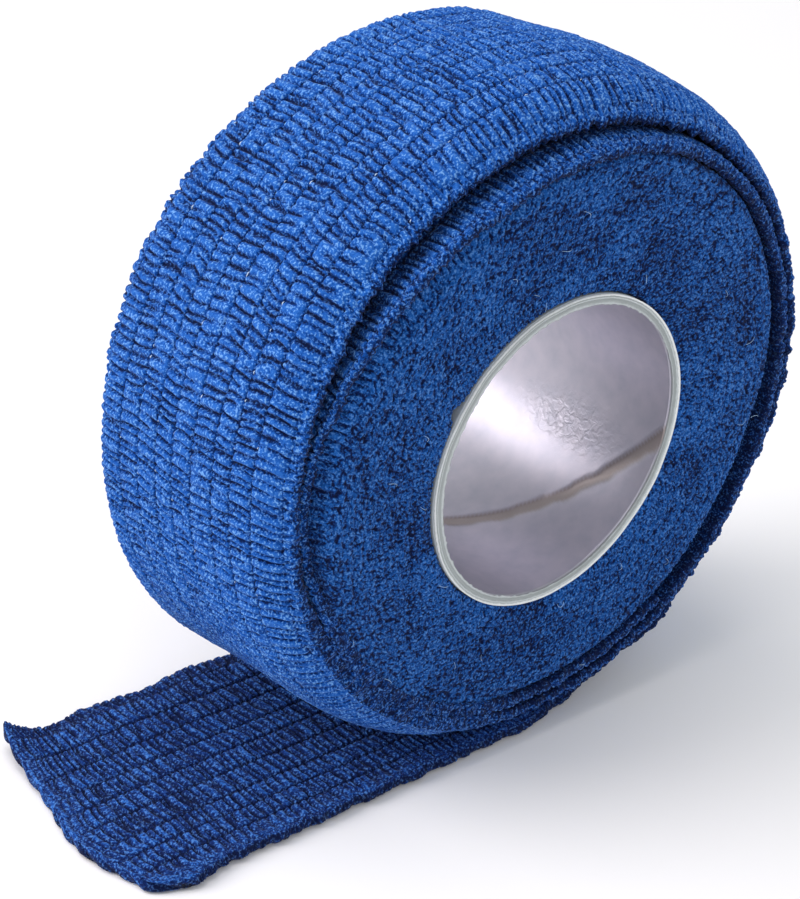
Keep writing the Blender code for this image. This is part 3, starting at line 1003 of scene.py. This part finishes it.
# ---------------------------------------------------------------- threads and fibres
def small_tubes(name, lines, radii, material):
    """Many thin tubes as one mesh: lines is (count, points, 3) in mm, radii is (count, points).

    Each point carries a triangle of points at its radius, in the plane across the line.
    """
    count, steps = lines.shape[:2]
    heading = np.gradient(lines, axis=1)
    heading /= np.linalg.norm(heading, axis=2, keepdims=True) + 1e-9
    along_x, along_y = np.eye(3)[:2]
    helper = np.where(np.abs(heading[..., 1:2]) < 0.9, along_y, along_x)
    side = np.cross(heading, helper)
    side /= np.linalg.norm(side, axis=2, keepdims=True) + 1e-9
    other = np.cross(heading, side)
    turn = np.radians([0, 120, 240])
    ring = (side[:, :, None] * np.cos(turn)[:, None] + other[:, :, None] * np.sin(turn)[:, None])
    points = (lines[:, :, None] + ring * radii[:, :, None, None]).reshape(-1, 3)
    one = grid_faces(steps, 3, wrap_columns=True)
    quads = (one[None] + (np.arange(count) * steps * 3)[:, None, None]).reshape(-1, 4)
    quads = quads[:, ::-1]
    return new_piece(name, points, quads, np.zeros((len(points), 2)), {}, material)


GLINTS, FIBRES = 150, 22


def build_thread_glints(crepe, material):
    """Where the elastic threads surface between two ridges: short pale beads along them.

    A bead's radius is 0.055 sqrt(1 - (2t)^2) for t from -0.5 to 0.5 along it.
    """
    rng = np.random.default_rng(SEED + 140)
    count = GLINTS
    angle = rng.uniform(-50, 200, count)
    v = THREADS[1:-1][rng.integers(0, CHANNELS + 1, count)]
    length = rng.uniform(0.2, 0.6, count)
    t = np.linspace(-0.5, 0.5, 6)
    s = (angle[:, None] - TURN_START) * MM_A_DEGREE + length[:, None] * t
    place = s / MM_A_DEGREE + TURN_START
    wander = THREAD_WANDER * lattice_noise(s / 5.0, 3.0, crepe.seed + 50)
    across = v[:, None] - wander
    slip = along(OUTER_TURN, SLIP, place)
    y = across + slip * (HALF - across) / (2 * HALF) + 0.05
    radius = outer_radius(place, across + HALF) - 0.06 - 0.6 * t ** 2
    radii = 0.055 * np.sqrt(np.maximum(1 - (2 * t) ** 2, 0.0)) + 0.003
    return small_tubes("thread_glints", wound(radius, place, y), radii + 0 * s, material)


def build_loose_fibres(material):
    """Fibres pulled out of the selvedges: thin curved hairs that lie on the front face.

    Each sets off in a random heading, turns evenly by its bend, and thins at its far end.
    """
    rng = np.random.default_rng(SEED + 141)
    count = FIBRES
    angle = np.radians(rng.uniform(0, 360, count))
    radius = rng.uniform(15.6, 26.0, count)
    heading = rng.uniform(0, 2 * np.pi, count)
    length = rng.uniform(0.5, 1.3, count)
    bend = rng.normal(0, 1.2, count)
    t = np.linspace(0, 1, 9)[None, :]
    turn = heading[:, None] + bend[:, None] * t
    step = length[:, None] / 8
    x = radius[:, None] * np.cos(angle)[:, None] + np.cumsum(step * np.cos(turn), 1)
    z = radius[:, None] * np.sin(angle)[:, None] + np.cumsum(step * np.sin(turn), 1)
    y = -HALF - 0.2 - 0.35 * np.sin(np.pi * t) * rng.uniform(0.3, 1.0, (count, 1))
    lines = np.stack([x, y + 0 * x, AXIS_Z + z], -1)
    radii = np.full(x.shape, 0.024) * np.minimum(1, 8 * (1 - t) + 0.2)
    return small_tubes("loose_fibres", lines, radii, material)


# ---------------------------------------------------------------- camera, light and floor
CAMERA_PLACE = (-0.18324, -0.17576, 0.16466)
CAMERA_AZIMUTH, CAMERA_ELEVATION, CAMERA_ROLL = -45.07, 28.96, 5.82
LENS = 128.14
SENSOR = 36.0
ROLL_MIDDLE = (0.0, 0.0, 0.03)
WARM = (1.0, 0.94, 0.95)
SURROUNDINGS, SURROUNDINGS_STRENGTH = (0.95, 0.98, 1.0, 1.0), 0.62


def turned_to(right, up, back, place):
    """A matrix that stands at a place with these axes."""
    turn = Matrix(np.stack([right, up, back], 1).tolist()).to_4x4()
    return Matrix.Translation(place) @ turn


def make_camera():
    """A long lens looking down at the roll's front left, a little rolled."""
    angles = (CAMERA_AZIMUTH, CAMERA_ELEVATION, CAMERA_ROLL)
    azimuth, elevation, roll = (math.radians(angle) for angle in angles)
    back = np.array([math.sin(azimuth) * math.cos(elevation),
                     -math.cos(azimuth) * math.cos(elevation), math.sin(elevation)])
    level = np.cross([0, 0, 1], back)
    level /= np.linalg.norm(level)
    upright = np.cross(back, level)
    right = math.cos(roll) * level + math.sin(roll) * upright
    up = math.cos(roll) * upright - math.sin(roll) * level
    data = bpy.data.cameras.new("camera")
    data.lens = LENS
    data.sensor_width = SENSOR
    data.clip_start = 0.01
    data.clip_end = 20.0
    camera = bpy.data.objects.new("camera", data)
    camera.matrix_world = turned_to(right, up, back, CAMERA_PLACE)
    bpy.context.scene.collection.objects.link(camera)
    bpy.context.scene.camera = camera


def area_light(name, direction, distance, size, power):
    """A round softbox in a direction from the middle of the roll, facing it."""
    back = np.array(direction) / np.linalg.norm(direction)
    side = np.cross([0, 0, 1] if abs(back[2]) < 0.95 else [0, 1, 0], back)
    side /= np.linalg.norm(side)
    data = bpy.data.lights.new(name, "AREA")
    data.shape = "DISK"
    data.size = size
    data.energy = power
    data.color = WARM
    light = bpy.data.objects.new(name, data)
    place = (np.array(ROLL_MIDDLE) + back * distance).tolist()
    light.matrix_world = turned_to(side, np.cross(back, side), back, place)
    bpy.context.scene.collection.objects.link(light)


def make_studio():
    """A white sweep, even white surroundings, and softboxes behind left, above and in front."""
    scene = bpy.context.scene
    scene.view_settings.view_transform = "Standard"
    world = bpy.data.worlds.new("studio")
    scene.world = world
    world.use_nodes = True
    background = world.node_tree.nodes["Background"]
    background.inputs["Color"].default_value = SURROUNDINGS
    background.inputs["Strength"].default_value = SURROUNDINGS_STRENGTH
    mesh = bpy.data.meshes.new("floor")
    size = 3.0
    drop = -0.0001
    mesh.from_pydata([(-size, -size, drop), (size, -size, drop), (size, size, drop),
                      (-size, size, drop)], [], [(0, 1, 2, 3)])
    floor = bpy.data.objects.new("floor", mesh)
    floor.data.materials.append(floor_material())
    scene.collection.objects.link(floor)
    area_light("key", (-0.80, 0.45, 0.54), distance=0.6, size=0.40, power=2.4)
    area_light("top", (-0.15, 0.1, 1.0), distance=0.8, size=0.5, power=1.8)
    area_light("fill", (-0.45, -0.75, 0.55), distance=0.9, size=0.5, power=0.9)


# ---------------------------------------------------------------- building
def main():
    make_camera()
    make_studio()
    cloth = crepe_material("latex_dipped_crepe", (
        (0.0, "pit"), (0.25, "valley"), (0.55, "cloth"), (0.90, "crest"), (1.0, "crest"),
    ), lint_share=0.68)
    edges = crepe_material("wound_crepe_selvedges", (
        (0.0, "pit"), (0.18, "face_low"), (0.46, "face"), (0.80, "face_high"), (1.0, "crest"),
    ), lint_share=0.42)
    inside = crepe_material("crepe_inner_side", (
        (0.0, "pit"), (0.30, "inside_low"), (0.62, "inside"), (0.88, "inside_high"),
        (1.0, "crest"),
    ), lint_share=0.32)

    lap = 360 * MM_A_DEGREE
    outside = Crepe(SEED + 200, 0.0, lap)
    second_side = Crepe(SEED + 500, 0.0, lap)
    third_side = Crepe(SEED + 600, 0.0, lap)
    strip_top = Crepe(SEED + 400, -STRIP_LENGTH, 0.0)
    strip_under = Crepe(SEED + 300, -STRIP_LENGTH, 0.0)

    cloth_pieces = [
        *(build_outer_turn(*length, outside, cloth) for length in OUTER_LENGTHS),
        build_second_turn(second_side, cloth),
        build_front_face(third_side, edges),
        build_back_face(edges),
        build_loose_fibres(fibre_material()),
        build_thread_glints(outside, thread_material()),
    ]
    for piece in cloth_pieces:
        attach(piece, "root")
        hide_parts("wound_roll")

    strip = build_loose_end(strip_top, strip_under, inside)
    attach(strip, "root")
    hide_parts("loose_end")

    for piece in (build_tube(ply_material()), build_liner(liner_material())):
        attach(piece, "root")
        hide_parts("core_tube")


main()
